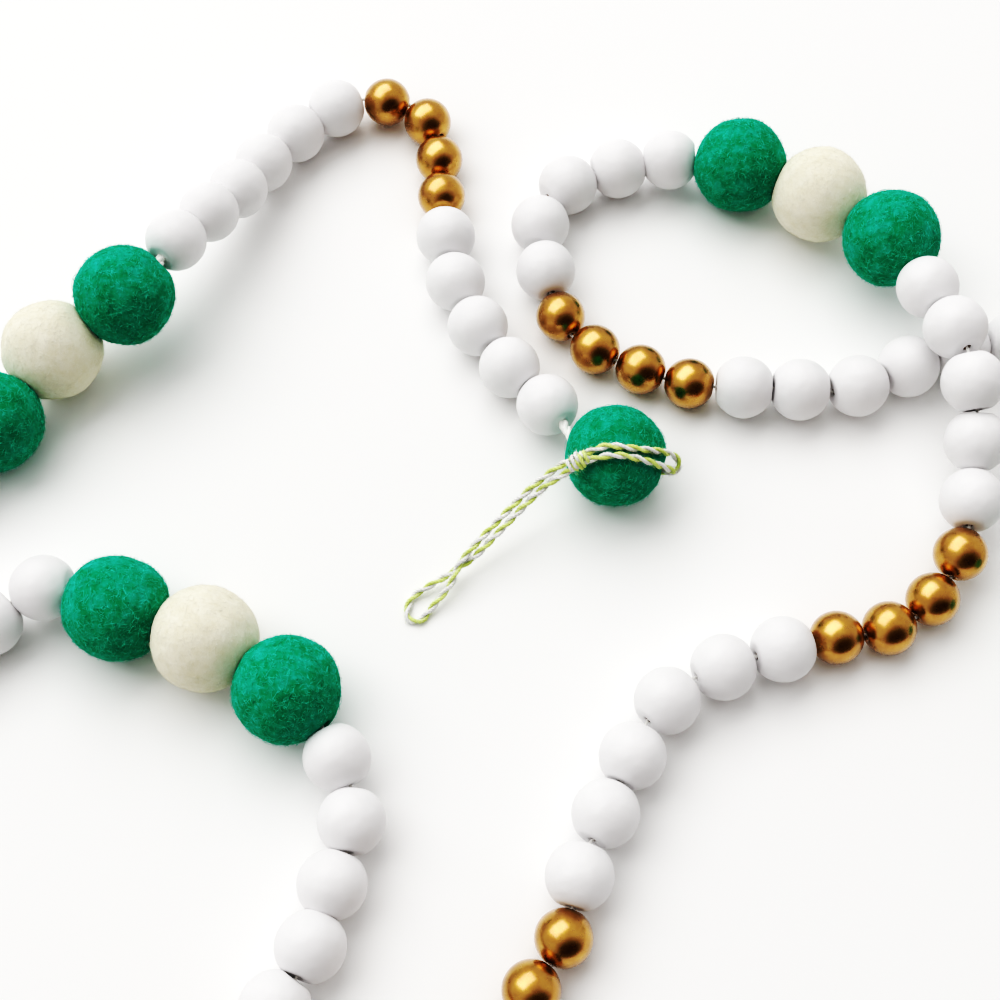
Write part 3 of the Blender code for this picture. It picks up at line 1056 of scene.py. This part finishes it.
def add_twine(shape, path, scale=1.0):
    """Two plies, one green and one pale, each of three yarns, wound round each other."""
    for ply in range(TWINE["plies"]):
        turn = 2 * math.pi * ply / TWINE["plies"]
        line = wound(path, TWINE["ply_out"] * scale, TWINE["ply_pitch"], turn)
        for number in range(TWINE["yarns"]):
            phase = 2 * math.pi * number / TWINE["yarns"]
            strand = wound(line, TWINE["yarn_out"] * scale, TWINE["yarn_pitch"], phase)
            add_tube(shape, strand, TWINE["yarn_radius"] * scale, TWINE["sides"], ply)


def add_fuzz(shape, path, rng, count):
    """Short stray fibres that stand off a twine, half of them of each ply's colour."""
    at = rng.integers(FUZZ["off_ends"], len(path) - FUZZ["off_ends"], count)
    along, one, other = frames_along(path)
    angle = rng.uniform(0, 2 * math.pi, count)[:, None]
    out = np.cos(angle) * one[at] + np.sin(angle) * other[at]
    run = along[at] * rng.choice((-1, 1), count)[:, None]
    length = rng.uniform(*FUZZ["length"], count)[:, None]
    lift = rng.uniform(*FUZZ["lift"], count)[:, None]
    start = path[at] + out * TWINE_RADIUS * FUZZ["from_share"]
    places = []
    for t in FUZZ["places"]:
        places.append(start + run * length * t + out * lift * t ** FUZZ["lift_power"])
    lines = np.stack(places, 1)
    lines[:, :, 2] = np.maximum(lines[:, :, 2], 2 * TABLE_CLEARANCE)
    ways = np.repeat(out[:, None], lines.shape[1], 1)
    half = count // 2
    for slot, part in enumerate((slice(0, half), slice(half, count))):
        radii = rng.uniform(*FUZZ["radius"], part.stop - part.start)
        add_fibres(shape, lines[part], ways[part], radii, slot)


def knot_line(centre, direction):
    """The twine's wraps round the two strands, as a barrel-shaped coil."""
    one, other = frame_of(direction)
    count = round(KNOT["turns"] * KNOT["steps_a_turn"])
    points = []
    for number in range(count + 1):
        share = 2 * number / count - 1
        angle = 2 * math.pi * KNOT["turns"] * number / count
        out = KNOT["radius"] * math.sqrt(1 - (1 - KNOT["waist"]) * share**2)
        across = math.cos(angle) * one + math.sin(angle) * other
        points.append(centre + direction * KNOT["length"] / 2 * share + out * across)
    return np.array(points)


def add_hanging_loop(number, ball, outward_deg, materials, rng):
    """A hanging loop of twine with its knot."""
    name = f"hanging_loop_{number:02d}"
    turn = Matrix.Rotation(math.radians(outward_deg - NEAR_END_DEG), 3, "Z")
    route = [ball["centre"] + turn @ Vector(point) for point in LOOP_ROUTE]
    hidden = [ball["centre"] + turned(outward_deg) * reached for reached in TWINE["tucked"]]
    aside = UP * TWINE["apart"]
    begun = [point - aside for point in reversed(hidden)]
    ended = [point + aside for point in hidden]
    line = even_line(smooth_line([*begun, *route, *ended], ROUTE_STEPS), TWINE["step"])
    path = np.array(line)
    shape = Shape()
    add_twine(shape, path)
    add_fuzz(shape, path, rng, FUZZ["on_loop"])
    shape.points = [kept_off_table(points) for points in shape.points]
    loop = shape.to_object(f"twine_loop_{number:02d}", materials, [name])
    direction = (turn @ Vector(KNOT["direction"])).normalized()
    wraps = knot_line(ball["centre"] + turn @ Vector(KNOT["centre"]), direction)
    knot_shape = Shape()
    add_twine(knot_shape, wraps, KNOT["scale"])
    add_fuzz(knot_shape, wraps, rng, FUZZ["on_knot"])
    knot = knot_shape.to_object(f"twine_knot_{number:02d}", materials, [name])


def add_string(beads, material):
    """The cotton string through every hole, of loosely wound plies. It is full near the
    mouths in sight, and drawn in where the beads grip it."""
    corners = [mouths(beads[0])[0] + beads[0]["axis"] * STRING_END_DEPTH]
    for before, bead in zip(beads, beads[1:]):
        corners.extend(string_between(before, bead))
    corners.append(mouths(beads[-1])[1] - beads[-1]["axis"] * STRING_END_DEPTH)
    path = np.array(even_line(corners, STRING["step"]))
    open_mouths = []
    for number in STRING["open_after"]:
        open_mouths += [mouths(beads[number])[1], mouths(beads[number + 1])[0]]
    apart = np.linalg.norm(path[:, None] - np.array(open_mouths)[None], axis=2).min(axis=1)
    drawn_in = np.clip((apart - STRING["open_reach"]) / STRING["eases_over"], 0.0, 1.0)
    thickness = (1 - drawn_in * (1 - STRING["drawn_in"]))[:, None]
    shape = Shape()
    for number in range(STRING["plies"]):
        phase = 2 * math.pi * number / STRING["plies"]
        line = wound(path, STRING["ply_out"] * thickness, STRING["pitch"], phase)
        add_tube(shape, line, STRING["ply_radius"] * thickness[:, None], STRING["sides"], 0)
    shape.to_object("cotton_string", [material], ["string"])


# Studio


def add_floor(beads):
    """The plain white table."""
    centre = sum((bead["centre"] for bead in beads), Vector()) / len(beads) * MM
    corners = []
    for x, y in ((-1, -1), (1, -1), (1, 1), (-1, 1)):
        corners.append((x * TABLE_HALF_M + centre.x, y * TABLE_HALF_M + centre.y, 0.0))
    mesh = bpy.data.meshes.new("table_top")
    mesh.from_pydata(corners, [], [(0, 1, 2, 3)])
    mesh.materials.append(floor_material())
    floor = bpy.data.objects.new("table_top", mesh)
    bpy.context.scene.collection.objects.link(floor)


def add_key():
    """A large rectangular soft light that faces the middle of the table."""
    data = bpy.data.lights.new("key", "AREA")
    data.shape = "RECTANGLE"
    data.size, data.size_y = KEY["size"]
    data.energy = KEY["power"]
    data.color = KEY["colour"]
    light = bpy.data.objects.new("key", data)
    away = Vector(KEY["towards"]).normalized()
    light.location = away * KEY["distance"]
    light.rotation_euler = (-away).to_track_quat("-Z", "Y").to_euler()
    bpy.context.scene.collection.objects.link(light)


def add_room():
    """A pale room round the table, dark in one direction."""
    world = bpy.data.worlds.new("studio")
    world.use_nodes = True
    nodes, links = world.node_tree.nodes, world.node_tree.links
    towards = nodes.new("ShaderNodeTexCoord")
    alike = nodes.new("ShaderNodeVectorMath")
    alike.operation = "DOT_PRODUCT"
    alike.inputs[1].default_value = Vector(ROOM["dark_towards"]).normalized()
    shade = nodes.new("ShaderNodeValToRGB")
    shade.color_ramp.interpolation = "EASE"
    for element, (place, colour) in zip(shade.color_ramp.elements, (ROOM["light"], ROOM["dark"])):
        element.position = place
        element.color = (*colour, 1.0)
    links.new(towards.outputs["Generated"], alike.inputs[0])
    links.new(alike.outputs["Value"], shade.inputs["Fac"])
    links.new(shade.outputs["Color"], nodes["Background"].inputs["Color"])
    nodes["Background"].inputs["Strength"].default_value = ROOM["strength"]
    bpy.context.scene.world = world


def set_camera_response():
    """Steep middle tones and gentle whites, as in a bright product photograph."""
    view = bpy.context.scene.view_settings
    view.view_transform = "Standard"
    view.use_curve_mapping = True
    curve = view.curve_mapping.curves[3]
    for light, shown in CAMERA_RESPONSE:
        curve.points.new(light, shown)
    curve.points[-1].location = CAMERA_RESPONSE_END
    view.curve_mapping.update()


def main():
    beads = lay_beads()
    add_camera()
    set_camera_response()
    rng = np.random.default_rng(RANDOM_SEED)

    green_yarn = yarn("green_yarn", (0.44, 0.54, 0.13), (0.68, 0.79, 0.30))
    pale_yarn = yarn("pale_yarn", (0.55, 0.54, 0.56), (0.88, 0.88, 0.86))
    twine = [green_yarn, pale_yarn]
    add_hanging_loop(1, beads[0], NEAR_END_DEG, twine, rng)
    add_hanging_loop(2, beads[-1], FAR_END_DEG, twine, rng)

    green_felt = felt("green_felt", (0.0, 0.12, 0.045), (0.003, 0.22, 0.12), (0.04, 0.42, 0.36))
    cream_felt = felt("cream_felt", (0.66, 0.61, 0.43), (0.75, 0.715, 0.56), (0.85, 0.825, 0.70))
    felts = {
        "green": [green_felt, fibre("green_fibre", (0.008, 0.29, 0.18), (0.09, 0.70, 0.56))],
        "cream": [cream_felt, fibre("cream_fibre", (0.82, 0.79, 0.67), (0.95, 0.93, 0.84))],
    }
    # Hole walls in a dark brown that is partly painted shade
    paint = [white_paint(), raw_wood_and_painted_shade()]
    gold = [satin_gold(), raw_wood_and_painted_shade()]
    counts = {}
    for number, run in enumerate(RUNS):
        kind = run["kind"]
        strung = [bead for bead in beads if bead["run"] == number]
        groups = [strung] if kind == "white" else [[bead] for bead in strung]
        for group in groups:
            counts[kind] = counts.get(kind, 0) + 1
            if kind == "white":
                node = f"white_beads_{counts[kind]:02d}"
                add_beads(node + "_painted", group, paint, [node], rng)
            elif kind == "gold":
                node = f"gold_bead_{counts[kind]:02d}"
                add_beads(node + "_satin", group, gold, [node], rng)
            else:
                node = f"{kind}_ball_{counts[kind]:02d}"
                at = beads.index(group[0])
                neighbours = beads[max(at - 1, 0) : at] + beads[at + 1 : at + 2]
                add_felt_ball(node, group[0], neighbours, felts[kind], rng)
    cotton = yarn("cotton_yarn", (0.62, 0.61, 0.58), (0.90, 0.89, 0.86))
    add_string(beads, cotton)
    add_floor(beads)
    add_key()
    add_room()


main()
